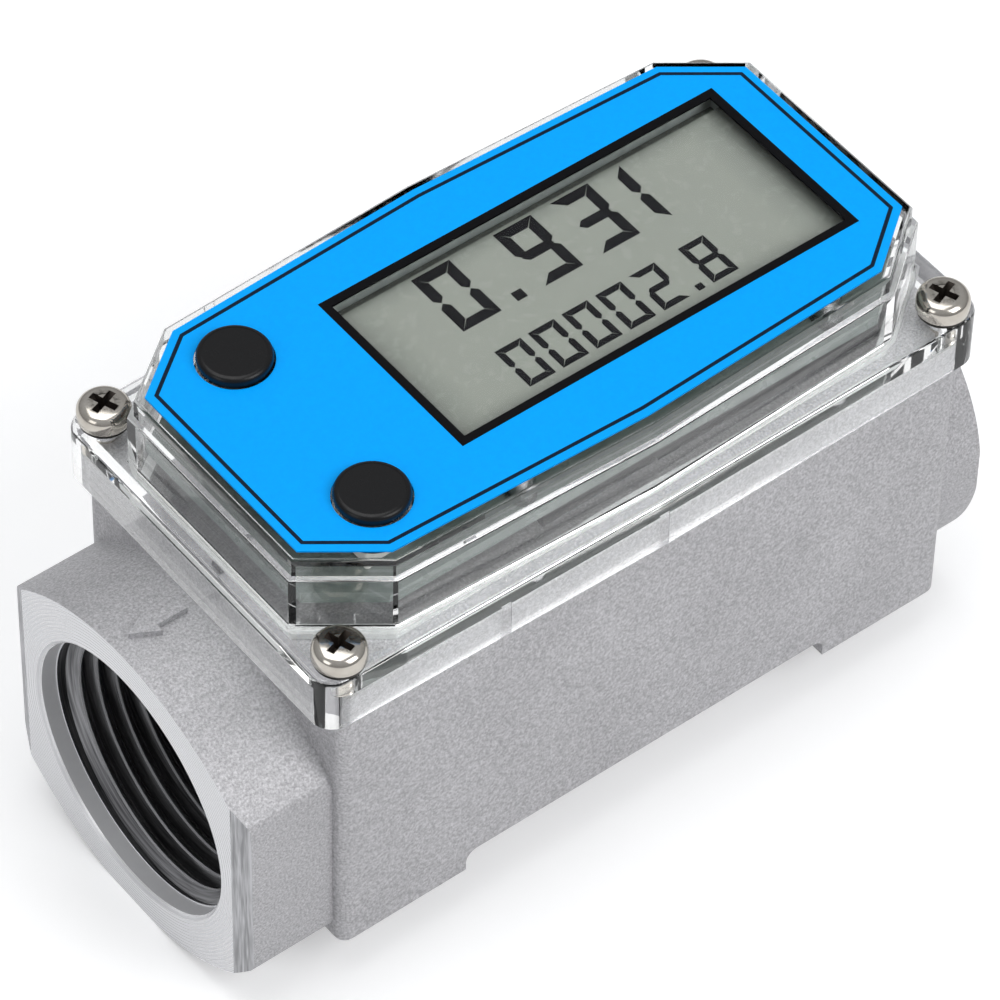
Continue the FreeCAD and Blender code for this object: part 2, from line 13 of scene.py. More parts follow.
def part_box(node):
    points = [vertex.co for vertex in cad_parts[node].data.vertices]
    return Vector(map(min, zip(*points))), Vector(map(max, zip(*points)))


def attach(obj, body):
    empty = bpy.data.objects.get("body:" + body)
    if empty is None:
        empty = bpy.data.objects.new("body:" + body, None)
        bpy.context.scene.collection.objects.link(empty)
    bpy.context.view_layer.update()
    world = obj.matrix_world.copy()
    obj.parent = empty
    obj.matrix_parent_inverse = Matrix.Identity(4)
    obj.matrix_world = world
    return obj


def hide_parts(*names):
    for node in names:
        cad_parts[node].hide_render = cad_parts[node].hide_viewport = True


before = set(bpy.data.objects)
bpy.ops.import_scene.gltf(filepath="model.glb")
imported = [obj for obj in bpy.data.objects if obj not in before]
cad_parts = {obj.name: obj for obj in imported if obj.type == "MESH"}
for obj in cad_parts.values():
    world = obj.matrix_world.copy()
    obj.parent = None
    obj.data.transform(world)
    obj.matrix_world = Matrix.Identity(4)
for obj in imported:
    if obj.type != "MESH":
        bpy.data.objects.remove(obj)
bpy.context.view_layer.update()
MM = 0.001


def node_box(name):
    """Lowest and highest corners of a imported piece, in millimetres."""
    low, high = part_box(name)
    return Vector(low) / MM, Vector(high) / MM


# ---- places taken from the frame ----
BODY_LOW, BODY_HIGH = node_box("meter_body")
COVER_LOW, COVER_HIGH = node_box("display_cover")
LABEL_LOW, LABEL_HIGH = node_box("face_label")
PANEL_TOP = node_box("lcd_panel")[1].z
WASHER_LOW, WASHER_HIGH = node_box("cover_washers")
SCREW_LOW, SCREW_HIGH = node_box("cover_screws")
BOARD_TOP = node_box("circuit_board")[1].z
TRAY_UNDER = node_box("battery_tray")[0].z
RING_LOW, RING_HIGH = node_box("retaining_rings")
SUPPORT_LOW, SUPPORT_HIGH = node_box("upstream_support")
DOWNSTREAM_END = node_box("downstream_support")[1].x
POST_LOW, POST_HIGH = node_box("board_screws")
COIL_LOW, COIL_HIGH = node_box("pickup_coil")
MID_X = (COVER_LOW.x + COVER_HIGH.x) / 2

# ---- cover and label ----
SIDE_CROWN = 1.2
FLANGE_CROWN = 0.6
LABEL_MARGIN = 1.13
DOME_MARGIN = 1.1
LEDGE_WIDTH = 0.7
LEDGE_DROP = 2.5
DOME_WALL = 1.6
DOME_TOP_WALL = 1.5
DOME_TOP = LABEL_LOW.z
DOME_UNDER = DOME_TOP - DOME_TOP_WALL
DOME_TOP_ROUND = 0.35
DOME_FOOT_ROUND = 0.7
LEDGE_ROUND = 0.25
FLANGE_TOP = WASHER_LOW.z
FLANGE_THICKNESS = 3.0
FLANGE_UNDER = FLANGE_TOP - FLANGE_THICKNESS
FLANGE_CORNER_RADIUS = 2.7
FLANGE_EDGE_ROUND = 0.6
HOLLOW_END_WALL = 2.15
HOLLOW_SIDE_WALL = 1.05
HOLLOW_CORNER_RADIUS = 1.85
RIB_PLACES = (-18.5, 2.8)
RIB_HALF_WIDTH = 0.65
RIB_DEPTH = 0.5
LINE_HALF_X = (LABEL_HIGH.x - LABEL_LOW.x) / 2 - LABEL_MARGIN
LINE_HALF_Y = LABEL_HIGH.y - LABEL_MARGIN
LINE_SLANT_REACH = 34.22
SLANT_ANGLE = math.radians(53.13)
SCREW_HEAD_RADIUS = 3.05
BUTTON_RADIUS = 4.2
POST_RADIUS = 1.75
BOARD_SCREW_RADIUS = 1.5
CAP_ROUND = 0.7
CAP_RIM_WIDTH = 0.75
CAP_DISH_WIDTH = 0.3
CAP_DISH_DEPTH = 0.06
CAP_LIP_HEIGHT = 0.9
SCREW_CROWN_ROUND = 1.25
SCREW_RIM_ROUND = 0.15
SCREW_FACE_INSET = 0.9
SCREW_POINT = 1.2
SCREW_X = (SCREW_HIGH.x - SCREW_LOW.x) / 2 - SCREW_HEAD_RADIUS
SCREW_Y = SCREW_HIGH.y - SCREW_HEAD_RADIUS
SKIRT_END = 2.4
SCREW_HOLE_RADIUS = 1.75
TAPPED_HOLE_RADIUS = 1.4
SHANK_RADIUS = 1.38
BUTTON_GAP = 0.2
POCKET_MARGIN = 0.53
PRINT_RISE = 0.03
LINE_HALF_WIDTH = 0.22
FLANGE_HALF_Y = COVER_HIGH.y - FLANGE_CROWN
WINDOW_X = 11.4
WINDOW_Y = 0.4
WINDOW_LENGTH = 52.2
WINDOW_WIDTH = 23.3
WINDOW_RIM = 0.5
BORDER_WIDTH = 1.05

# ---- cast body ----
AXIS_Z = (SUPPORT_LOW.z + SUPPORT_HIGH.z) / 2
THREAD_RADIUS = 16.6
THREAD_DEPTH = 19.0
BORE_RADIUS = 13.0
CHAMBER_RADIUS = 12.4
FLAT_HALF_Y = 21.5
FLAT_HALF_HEIGHT = 12.0
CROWN_RISE = 21.2
CROWN_EDGE = CROWN_RISE - FLAT_HALF_HEIGHT
CROWN_RADIUS = (FLAT_HALF_Y ** 2 + CROWN_EDGE ** 2) / (2 * CROWN_EDGE)
CROWN_DROP = CROWN_RADIUS - CROWN_RISE
FLAT_CHAMFER_DEPTH = 1.0
FLAT_CHAMFER_WIDTH = 2.4
BLOCK_CORNER_RADIUS = 1.45
BLOCK_UNDER_FLATS = 2.6
FOOT_LENGTH = 17.1
FOOT_HEIGHT = 3.2
INLET_ROUND_RADIUS = 21.7
MOUTH_DEPTH = 2.4
MOUTH_RELIEF = 0.15
NOZZLE_EDGE_ROUND = 1.0
NOZZLE_ROOT_ROUND = 1.1
RECESS_ROUND = 1.5
FOOT_EDGE_ROUND = 0.5
COIL_WELL_GAP = 0.3
THREAD_PITCH = 2.309
THREAD_TURNS = 6.9
THREAD_START = 2.8
THREAD_HEIGHT = 1.3
RING_GROOVE_WIDTH = 1.0
ARROW_Y = 1.6
ARROW_TIP_X = -49.6
ARROW_NECK_X = -46.4
ARROW_HALF_WIDTH = 1.8
ARROW_RISE = 0.8
ARROW_SHAFT_END_X = -42.4
ARROW_SHAFT_HALF_WIDTH = 0.8


# ---- modelling helpers ----
def free():
    """Leave edit mode with nothing selected."""
    if bpy.context.mode != "OBJECT":
        bpy.ops.object.mode_set(mode="OBJECT")
    bpy.ops.object.select_all(action="DESELECT")


def choose(piece):
    free()
    piece.select_set(True)
    bpy.context.view_layer.objects.active = piece


def settle(name):
    piece = bpy.context.active_object
    piece.name = name
    piece.data.name = name
    bpy.ops.object.transform_apply(location=True, rotation=True, scale=True)
    return piece


def new_box(name, low, high):
    """Box between two corners, in millimetres."""
    free()
    low = Vector(low) * MM
    high = Vector(high) * MM
    bpy.ops.mesh.primitive_cube_add(size=1, location=(low + high) / 2, scale=high - low)
    return settle(name)


def new_cylinder(name, radius, start, end, sides=96, end_radius=None):
    free()
    start = Vector(start) * MM
    end = Vector(end) * MM
    turn = (end - start).to_track_quat("Z", "Y").to_euler()
    far = radius if end_radius is None else end_radius
    bpy.ops.mesh.primitive_cone_add(vertices=sides, radius1=radius * MM, radius2=far * MM,
                                    depth=(end - start).length, location=(start + end) / 2, rotation=turn)
    return settle(name)


def pick(piece, kind, test):
    """Enter edit mode with only the points, edges or faces chosen by the test selected."""
    choose(piece)
    bpy.ops.object.mode_set(mode="EDIT")
    bpy.ops.mesh.select_mode(type=kind)
    bpy.ops.mesh.select_all(action="DESELECT")
    mesh = bmesh.from_edit_mesh(piece.data)
    items = {"VERT": mesh.verts, "EDGE": mesh.edges, "FACE": mesh.faces}[kind]
    for item in items:
        if test(item):
            item.select_set(True)
    mesh.select_flush_mode()
    bmesh.update_edit_mesh(piece.data)


def middle(item):
    """Middle of an edge, in millimetres."""
    return (item.verts[0].co + item.verts[1].co) / 2 / MM


def along(item, axis):
    """How far an edge runs along an axis, in millimetres."""
    return abs(item.verts[0].co[axis] - item.verts[1].co[axis]) / MM


def near(a, b, room=0.05):
    return abs(a - b) < room


def bevel(offset, segments):
    bpy.ops.mesh.bevel(offset=offset * MM, segments=segments, affect="EDGES", clamp_overlap=True)


def carve(piece, cutter, operation="DIFFERENCE"):
    """Cut, join or overlap a piece with another, which is used up."""
    choose(piece)
    modifier = piece.modifiers.new("carve", "BOOLEAN")
    modifier.object = cutter
    modifier.operation = operation
    modifier.solver = "EXACT"
    bpy.ops.object.modifier_apply(modifier="carve")
    bpy.data.objects.remove(cutter)


def weld(piece):
    """Join points that cutting left almost on top of one another."""
    pick(piece, "VERT", lambda vertex: True)
    bpy.ops.mesh.remove_doubles(threshold=0.004 * MM)
    free()


def slice_off(piece, point, normal):
    """Cut a piece with a plane and keep the side that the normal points to."""
    pick(piece, "FACE", lambda face: True)
    bpy.ops.mesh.bisect(plane_co=Vector(point) * MM, plane_no=normal, use_fill=True, clear_inner=True)
    free()


def finish_piece(piece, body, slot, *materials, smooth_angle=32):
    """Shading, materials and body of a modelled piece; the material slot argument is not used."""
    choose(piece)
    bpy.ops.object.shade_smooth_by_angle(angle=math.radians(smooth_angle))
    even = piece.modifiers.new("even_normals", "WEIGHTED_NORMAL")
    even.keep_sharp = True
    bpy.ops.object.modifier_apply(modifier="even_normals")
    piece.data.materials.clear()
    for material in materials:
        piece.data.materials.append(material)
    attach(piece, body)
    free()
    return piece


def paint_faces(piece, index, test):
    """Give another of the piece's materials to the faces whose corners all pass the test."""
    corners = piece.data.vertices
    for face in piece.data.polygons:
        if all(test(corners[number].co / MM, face.normal) for number in face.vertices):
            face.material_index = index


def copy_piece(piece, name, shift):
    """Copy with its own mesh, moved by a shift in millimetres."""
    twin = piece.copy()
    twin.data = piece.data.copy()
    twin.name = name
    twin.data.name = name
    twin.data.transform(Matrix.Translation(Vector(shift) * MM))
    bpy.context.scene.collection.objects.link(twin)
    return twin


# ---- material helpers ----
def new_material(name, colour, metallic=0.0, roughness=0.5):
    material = bpy.data.materials.new(name)
    material.use_nodes = True
    shader = material.node_tree.nodes["Principled BSDF"]
    shader.inputs["Base Color"].default_value = (*colour, 1)
    shader.inputs["Metallic"].default_value = metallic
    shader.inputs["Roughness"].default_value = roughness
    return material, shader


def object_place(material, shift=(0, 0, 0), stretch=(1, 1, 1)):
    nodes = material.node_tree.nodes
    place = nodes.new("ShaderNodeTexCoord")
    mapping = nodes.new("ShaderNodeMapping")
    mapping.inputs["Location"].default_value = shift
    mapping.inputs["Scale"].default_value = stretch
    material.node_tree.links.new(place.outputs["Object"], mapping.inputs["Vector"])
    return mapping.outputs["Vector"]


def noise(material, place, scale, detail=4.0, rough=0.6):
    texture = material.node_tree.nodes.new("ShaderNodeTexNoise")
    texture.inputs["Scale"].default_value = scale
    texture.inputs["Detail"].default_value = detail
    texture.inputs["Roughness"].default_value = rough
    material.node_tree.links.new(place, texture.inputs["Vector"])
    return texture.outputs["Fac"]


def ramp(material, value, stops):
    """Colour ramp through (place, colour) stops."""
    node = material.node_tree.nodes.new("ShaderNodeValToRGB")
    elements = node.color_ramp.elements
    while len(elements) < len(stops):
        elements.new(0.5)
    for element, (where, colour) in zip(elements, stops):
        element.position = where
        element.color = (*colour, 1)
    material.node_tree.links.new(value, node.inputs["Fac"])
    return node.outputs["Color"]


def grade(material, value, low, high, out_low, out_high):
    node = material.node_tree.nodes.new("ShaderNodeMapRange")
    node.inputs["From Min"].default_value = low
    node.inputs["From Max"].default_value = high
    node.inputs["To Min"].default_value = out_low
    node.inputs["To Max"].default_value = out_high
    material.node_tree.links.new(value, node.inputs["Value"])
    return node.outputs["Result"]


def relief(material, shader, value, strength, depth):
    node = material.node_tree.nodes.new("ShaderNodeBump")
    node.inputs["Strength"].default_value = strength
    node.inputs["Distance"].default_value = depth
    material.node_tree.links.new(value, node.inputs["Height"])
    material.node_tree.links.new(node.outputs["Normal"], shader.inputs["Normal"])


def speckled(name, dark, light, scale, metallic, roughness, strength=0.2, depth=0.0001, spread=0.06,
             shine=0.5):
    """Finish whose colour, gloss and surface vary with one fine noise."""
    material, shader = new_material(name, light, metallic, roughness)
    shader.inputs["Specular IOR Level"].default_value = shine
    value = noise(material, object_place(material), scale)
    links = material.node_tree.links
    links.new(ramp(material, value, [(0.3, dark), (0.7, light)]), shader.inputs["Base Color"])
    gloss = grade(material, value, 0.3, 0.7, roughness + spread, roughness - spread)
    links.new(gloss, shader.inputs["Roughness"])
    relief(material, shader, value, strength, depth)
    return material


def cast_aluminium():
    """Sand-blasted casting: fine grain over soft patches."""
    material, shader = new_material("sand_cast_aluminium", (0.5, 0.49, 0.51), 0.3, 0.55)
    links = material.node_tree.links
    place = object_place(material)
    grain = noise(material, place, 3400, 3.0, 0.7)
    patches = noise(material, place, 60, 3.0, 0.5)
    tone = material.node_tree.nodes.new("ShaderNodeMixRGB")
    tone.blend_type = "MULTIPLY"
    tone.inputs["Fac"].default_value = 0.5
    grains = [(0.34, (0.35, 0.345, 0.355)), (0.5, (0.475, 0.47, 0.485)), (0.68, (0.64, 0.63, 0.65))]
    shades = [(0.35, (0.82, 0.82, 0.82)), (0.65, (1, 1, 1))]
    links.new(ramp(material, grain, grains), tone.inputs["Color1"])
    links.new(ramp(material, patches, shades), tone.inputs["Color2"])
    links.new(tone.outputs["Color"], shader.inputs["Base Color"])
    links.new(grade(material, grain, 0.3, 0.7, 0.62, 0.42), shader.inputs["Roughness"])
    relief(material, shader, grain, 0.35, 0.00009)
    return material


def turned_aluminium():
    """Bright end face with the rings that a lathe tool leaves round the bore."""
    material, shader = new_material("turned_aluminium", (0.83, 0.83, 0.85), 0.35, 0.3)
    place = object_place(material, (0, 0, -AXIS_Z * MM))
    rings = material.node_tree.nodes.new("ShaderNodeTexWave")
    rings.wave_type = "RINGS"
    rings.rings_direction = "X"
    rings.inputs["Scale"].default_value = 700
    rings.inputs["Distortion"].default_value = 0.6
    rings.inputs["Detail"].default_value = 2.0
    links = material.node_tree.links
    links.new(place, rings.inputs["Vector"])
    value = rings.outputs["Fac"]
    links.new(ramp(material, value, [(0.0, (0.76, 0.76, 0.78)), (1.0, (0.86, 0.86, 0.87))]),
              shader.inputs["Base Color"])
    links.new(grade(material, value, 0, 1, 0.38, 0.26), shader.inputs["Roughness"])
    relief(material, shader, value, 0.06, 0.00003)
    return material


def milled_aluminium():
    """Narrow chamfers with upright cutter marks."""
    material, shader = new_material("milled_aluminium", (0.5, 0.5, 0.51), 0.25, 0.5)
    value = noise(material, object_place(material, (0, 0, 0), (1, 1, 0.06)), 2600, 2.0)
    links = material.node_tree.links
    links.new(ramp(material, value, [(0.35, (0.3, 0.3, 0.31)), (0.65, (0.62, 0.62, 0.64))]),
              shader.inputs["Base Color"])
    relief(material, shader, value, 0.3, 0.00005)
    return material


def painted_bore_shade():
    """Bored wall in a dark grey that is painted shade inside the hole, with fine tool marks round it."""
    material, shader = new_material("bored_aluminium_painted_shade", (0.3, 0.3, 0.31), 0.95, 0.28)
    value = noise(material, object_place(material, (0, 0, 0), (1, 0.02, 0.02)), 5000, 2.0)
    links = material.node_tree.links
    links.new(ramp(material, value, [(0.35, (0.1, 0.1, 0.105)), (0.65, (0.3, 0.3, 0.31))]),
              shader.inputs["Base Color"])
    relief(material, shader, value, 0.2, 0.00004)
    return material


def clear_plastic(name, index):
    """Moulded clear plastic that lets the light through to what lies under it."""
    material, shader = new_material(name, (0.99, 0.995, 0.994), 0.0, 0.02)
    shader.inputs["Transmission Weight"].default_value = 1.0
    shader.inputs["IOR"].default_value = index
    nodes = material.node_tree.nodes
    links = material.node_tree.links
    waves = noise(material, object_place(material), 240, 2.0, 0.4)
    links.new(grade(material, waves, 0.3, 0.7, 0.01, 0.05), shader.inputs["Roughness"])
    relief(material, shader, waves, 0.06, 0.0002)
    open_way = nodes.new("ShaderNodeBsdfTransparent")
    open_way.inputs["Color"].default_value = (0.93, 0.95, 0.945, 1)
    path = nodes.new("ShaderNodeLightPath")
    mix = nodes.new("ShaderNodeMixShader")
    links.new(path.outputs["Is Shadow Ray"], mix.inputs["Fac"])
    links.new(shader.outputs["BSDF"], mix.inputs[1])
    links.new(open_way.outputs["BSDF"], mix.inputs[2])
    links.new(mix.outputs["Shader"], nodes["Material Output"].inputs["Surface"])
    return material


def display_glass():
    """Grey liquid crystal glass, darker where the frame shades its edges."""
    material, shader = new_material("display_grey", (0.165, 0.175, 0.156), 0.0, 0.22)
    shader.inputs["Specular IOR Level"].default_value = 0.15
    nodes = material.node_tree.nodes
    links = material.node_tree.links
    place = object_place(material, (-WINDOW_X * MM, -WINDOW_Y * MM, 0))
    parts = nodes.new("ShaderNodeSeparateXYZ")
    links.new(place, parts.inputs["Vector"])
    shades = []
    for axis, half, soft in (("X", WINDOW_LENGTH / 2, 5.0), ("Y", WINDOW_WIDTH / 2, 3.0)):
        size = nodes.new("ShaderNodeMath")
        size.operation = "ABSOLUTE"
        links.new(parts.outputs[axis], size.inputs[0])
        shade = grade(material, size.outputs["Value"], (half - soft) * MM, (half + 0.5) * MM, 0.0, 1.0)
        shades.append(shade)
    most = nodes.new("ShaderNodeMath")
    most.operation = "MAXIMUM"
    links.new(shades[0], most.inputs[0])
    links.new(shades[1], most.inputs[1])
    greys = [(0.0, (0.165, 0.175, 0.156)), (0.5, (0.14, 0.15, 0.135)), (1.0, (0.075, 0.08, 0.073))]
    links.new(ramp(material, most.outputs["Value"], greys), shader.inputs["Base Color"])
    grain = noise(material, object_place(material), 900, 2.0)
    links.new(grade(material, grain, 0.3, 0.7, 0.2, 0.3), shader.inputs["Roughness"])
    return material


def blue_print():
    """Blue film printed on the label."""
    material, shader = new_material("blue_label_film", (0.0, 0.38, 1.0), 0.0, 0.38)
    shader.inputs["Specular IOR Level"].default_value = 0.1
    value = noise(material, object_place(material), 1400, 3.0)
    links = material.node_tree.links
    links.new(ramp(material, value, [(0.3, (0.0, 0.36, 0.97)), (0.7, (0.0, 0.39, 1.0))]),
              shader.inputs["Base Color"])
    links.new(grade(material, value, 0.3, 0.7, 0.42, 0.34), shader.inputs["Roughness"])
    relief(material, shader, value, 0.03, 0.00003)
    return material


CAST = cast_aluminium()
TURNED = turned_aluminium()
MILLED = milled_aluminium()
CLEAR = clear_plastic("clear_acrylic", 1.49)
WINDOW = clear_plastic("anti_glare_window", 1.1)
# Dark bore finish: painted shade on the walls inside the nozzles.
BORE_PAINTED_SHADE = painted_bore_shade()
BLUE = blue_print()
GLASS = display_glass()
RUBBER = speckled("black_rubber", (0.003, 0.003, 0.0035), (0.006, 0.006, 0.0065), 1500, 0, 0.3,
                  strength=0.08, depth=0.00003, spread=0.04, shine=0.3)
INK = speckled("black_ink", (0.002, 0.002, 0.003), (0.004, 0.004, 0.005), 1800, 0, 0.5,
               strength=0.05, depth=0.00002, shine=0.08)
LINE_INK = speckled("dark_line_ink", (0.004, 0.012, 0.03), (0.008, 0.018, 0.04), 1800, 0, 0.5,
                    strength=0.05, depth=0.00002, shine=0.08)
# Darker nickel for the cross recess in the screw heads: painted shade inside the recess.
RECESS_PAINTED_SHADE = speckled("recess_painted_shade", (0.06, 0.05, 0.04), (0.2, 0.17, 0.15), 900, 0.9, 0.4)
NICKEL = speckled("warm_nickel", (0.56, 0.52, 0.46), (0.68, 0.64, 0.58), 500, 1, 0.16,
                  strength=0.04, depth=0.00003, spread=0.04)


# ---- cast body ----
def from_axis(point):
    """Distance of a point from the flow axis."""
    return Vector((0, point.y, point.z - AXIS_Z)).length


def nozzle_barrel():
    """Both nozzles in one length: flat sides, and round crowns above and below."""
    low = BODY_LOW.x
    high = BODY_HIGH.x
    centre = AXIS_Z - CROWN_DROP
    barrel = new_cylinder("nozzle_barrel", CROWN_RADIUS, (low, 0, centre), (high, 0, centre), 120)
    centre = AXIS_Z + CROWN_DROP
    lower = new_cylinder("lower_crown", CROWN_RADIUS, (low - 1, 0, centre), (high + 1, 0, centre), 120)
    carve(barrel, lower, "INTERSECT")
    flats = new_box("side_flats", (low - 1, -FLAT_HALF_Y, BODY_LOW.z), (high + 1, FLAT_HALF_Y, 60))
    carve(barrel, flats, "INTERSECT")
    pick(barrel, "EDGE", lambda e: along(e, 0) > 60 and near(abs(middle(e).y), FLAT_HALF_Y)
         and near(abs(middle(e).z - AXIS_Z), FLAT_HALF_HEIGHT, 0.4))
    bevel(NOZZLE_EDGE_ROUND, 6)
    chamfer_flats(barrel, low)
    round_inlet(barrel, COVER_HIGH.x - SKIRT_END - 2, high)
    return barrel


def chamfer_flats(barrel, end):
    """Slanted strip where each side flat of the outlet meets its end face."""
    for side in (-1, 1):
        flat = side * FLAT_HALF_Y
        wedge = new_box("wedge", (end - 1, flat - 3, -1), (end + 2, flat + 3, 45))
        slope = Vector((-FLAT_CHAMFER_WIDTH, side * FLAT_CHAMFER_DEPTH, 0)).normalized()
        slice_off(wedge, (end, flat - side * FLAT_CHAMFER_WIDTH, AXIS_Z), slope)
        carve(barrel, wedge)


def round_inlet(barrel, start, end):
    """Turn the inlet's part of the barrel down to a round."""
    trim = new_box("inlet_trim", (start, -40, -10), (end + 1, 40, 60))
    core = new_cylinder("inlet_round", INLET_ROUND_RADIUS, (start - 1, 0, AXIS_Z), (end + 2, 0, AXIS_Z), 160)
    carve(trim, core)
    carve(barrel, trim)


def block_shape():
    """Block under the cover, on two feet with a recess between them."""
    low = Vector((COVER_LOW.x + SKIRT_END, BODY_LOW.y, AXIS_Z - FLAT_HALF_HEIGHT - BLOCK_UNDER_FLATS))
    high = Vector((COVER_HIGH.x - SKIRT_END, BODY_HIGH.y, BODY_HIGH.z))
    block = new_box("block", low, high)
    pick(block, "EDGE", lambda e: along(e, 2) > 10)
    bevel(BLOCK_CORNER_RADIUS, 6)
    ceiling = low.z + FOOT_HEIGHT
    recess = new_box("foot_recess", (low.x + FOOT_LENGTH, -40, low.z - 5),
                     (high.x - FOOT_LENGTH, 40, ceiling))
    carve(block, recess)
    pick(block, "EDGE", lambda e: along(e, 1) > 40 and near(middle(e).z, ceiling))
    bevel(RECESS_ROUND, 6)
    pick(block, "EDGE", lambda e: is_foot_edge(middle(e), low, high, ceiling) and along(e, 2) < 0.01)
    bevel(FOOT_EDGE_ROUND, 5)
    free()
    return block, low, high


def is_foot_edge(place, low, high, ceiling):
    """Whether a place lies on the block's lower outline, below the recess's ceiling."""
    on_side = near(abs(place.y), high.y)
    on_end = near(place.x, low.x) or near(place.x, high.x)
    on_sole = near(place.z, low.z)
    return (on_side or on_end or on_sole) and place.z < ceiling + 0.01 and not near(place.z, ceiling)


def bore_cuts():
    """Radius, start and end of each cylinder cut along the flow axis."""
    wall = BODY_HIGH.x - THREAD_DEPTH
    groove_radius = RING_HIGH.z - AXIS_Z
    mouth_radius = THREAD_RADIUS + MOUTH_RELIEF
    return [
        (THREAD_RADIUS, BODY_LOW.x - 1, -wall),
        (THREAD_RADIUS, wall, BODY_HIGH.x + 1),
        (BORE_RADIUS, -wall - 1, DOWNSTREAM_END),
        (BORE_RADIUS, SUPPORT_LOW.x, wall + 1),
        (CHAMBER_RADIUS, DOWNSTREAM_END - 0.2, SUPPORT_LOW.x + 0.2),
        (groove_radius, RING_LOW.x, RING_LOW.x + RING_GROOVE_WIDTH),
        (groove_radius, RING_HIGH.x - RING_GROOVE_WIDTH, RING_HIGH.x),
        (mouth_radius, BODY_LOW.x - 1, BODY_LOW.x + MOUTH_DEPTH),
        (mouth_radius, BODY_HIGH.x - MOUTH_DEPTH, BODY_HIGH.x + 1),
    ]


def cut_inside(body):
    """Bores, countersinks, pocket, coil well and tapped holes."""
    for radius, start, end in bore_cuts():
        carve(body, new_cylinder("bore", radius, (start, 0, AXIS_Z), (end, 0, AXIS_Z), 128))
    for end, inward in ((BODY_LOW.x, 1), (BODY_HIGH.x, -1)):
        outside = (end - inward * 0.3, 0, AXIS_Z)
        inside = (end + inward * 0.9, 0, AXIS_Z)
        carve(body, new_cylinder("mouth", THREAD_RADIUS + 0.9, outside, inside, 128, THREAD_RADIUS - 0.3))
    carve(body, label_plan("pocket", POCKET_MARGIN, TRAY_UNDER, BODY_HIGH.z + 2))
    x = (COIL_LOW.x + COIL_HIGH.x) / 2
    radius = (COIL_HIGH.x - COIL_LOW.x) / 2 + COIL_WELL_GAP
    carve(body, new_cylinder("coil_well", radius, (x, 0, COIL_LOW.z), (x, 0, TRAY_UNDER + 1), 64))
    for x, y in screw_places():
        bottom = (x, y, SCREW_LOW.z)
        carve(body, new_cylinder("tapped_hole", TAPPED_HOLE_RADIUS, bottom, (x, y, BODY_HIGH.z + 1), 32))


def cast_body():
    """Block and nozzles in one casting: the turned and milled faces in their own finishes, and the bore
    walls in painted shade.
    """
    body, low, high = block_shape()
    carve(body, nozzle_barrel(), "UNION")
    pick(body, "EDGE", lambda e: along(e, 0) < 0.01
         and min(abs(middle(e).x - low.x), abs(middle(e).x - high.x)) < 0.01
         and abs(middle(e).y) < FLAT_HALF_Y - 2
         and AXIS_Z + 5 < middle(e).z < AXIS_Z + CROWN_RISE + 0.3)
    bevel(NOZZLE_ROOT_ROUND, 5)
    cut_inside(body)
    weld(body)
    finish_piece(body, "meter", "cast_body", CAST, TURNED, MILLED, BORE_PAINTED_SHADE, smooth_angle=19)
    body.name = "cast_meter_body"
    end = BODY_HIGH.x
    paint_faces(body, 1, lambda c, n: abs(n.x) > 0.95 and abs(c.x) > end - 0.05)
    # Bore walls take the dark bore finish: painted shade inside the hole.
    paint_faces(body, 3, lambda c, n: from_axis(c) < THREAD_RADIUS + 0.1)
    paint_faces(body, 1, lambda c, n: abs(c.x) > end - MOUTH_DEPTH - 0.05
                and from_axis(c) < THREAD_RADIUS + 1)
    paint_faces(body, 2, lambda c, n: 0.8 < abs(n.x) < 0.95 and abs(c.x) > end - 1.1
                and abs(c.y) > FLAT_HALF_Y - 2.5)
    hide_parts("meter_body")


# ---- clear cover ----
def screw_places():
    return [(MID_X + sx * SCREW_X, sy * SCREW_Y) for sx in (-1, 1) for sy in (-1, 1)]


def button_places():
    places = []
    for name in ("display_button", "calibrate_button"):
        low, high = node_box(name)
        places.append(((low.x + high.x) / 2, (low.y + high.y) / 2))
    return places


def crown_long_sides(piece, half_y, crown):
    """Let the long sides stand out a little in the middle."""
    pick(piece, "EDGE", lambda e: along(e, 0) > 20 and near(abs(middle(e).y), half_y))
    bpy.ops.mesh.subdivide(number_cuts=1)
    for side in (-1, 1):
        pick(piece, "VERT", lambda v: near(v.co.x / MM, MID_X) and near(v.co.y / MM, side * half_y))
        bpy.ops.transform.translate(value=(0, side * crown * MM, 0))
    free()


def label_plan(name, offset, low_z, high_z):
    """Ten-sided block parallel to the line round the label, moved outwards by the offset."""
    half_x = LINE_HALF_X + offset
    half_y = LINE_HALF_Y + offset
    piece = new_box(name, (MID_X - half_x, -half_y, low_z), (MID_X + half_x, half_y, high_z))
    reach = LINE_SLANT_REACH + offset
    for side_x in (-1, 1):
        for side_y in (-1, 1):
            normal = Vector((side_x * math.cos(SLANT_ANGLE), side_y * math.sin(SLANT_ANGLE), 0))
            slice_off(piece, Vector((MID_X, 0, 0)) + normal * reach, -normal)
    crown_long_sides(piece, half_y, SIDE_CROWN)
    return piece


def inside_plan(point, offset):
    """Whether a point lies within the label's plan moved outwards by the offset."""
    x = abs(point.x - MID_X)
    y = abs(point.y)
    slanted = x * math.cos(SLANT_ANGLE) + y * math.sin(SLANT_ANGLE)
    return (x < LINE_HALF_X + offset and y < LINE_HALF_Y + SIDE_CROWN + offset
            and slanted < LINE_SLANT_REACH + offset)


def round_level_edges(piece, z, radius, segments, room=0.01, also=lambda place: True):
    """Round the level edges at one height, or those of them whose middle passes a further test."""
    pick(piece, "EDGE", lambda e: near(middle(e).z, z, room) and along(e, 2) < 0.01 and also(middle(e)))
    bevel(radius, segments)


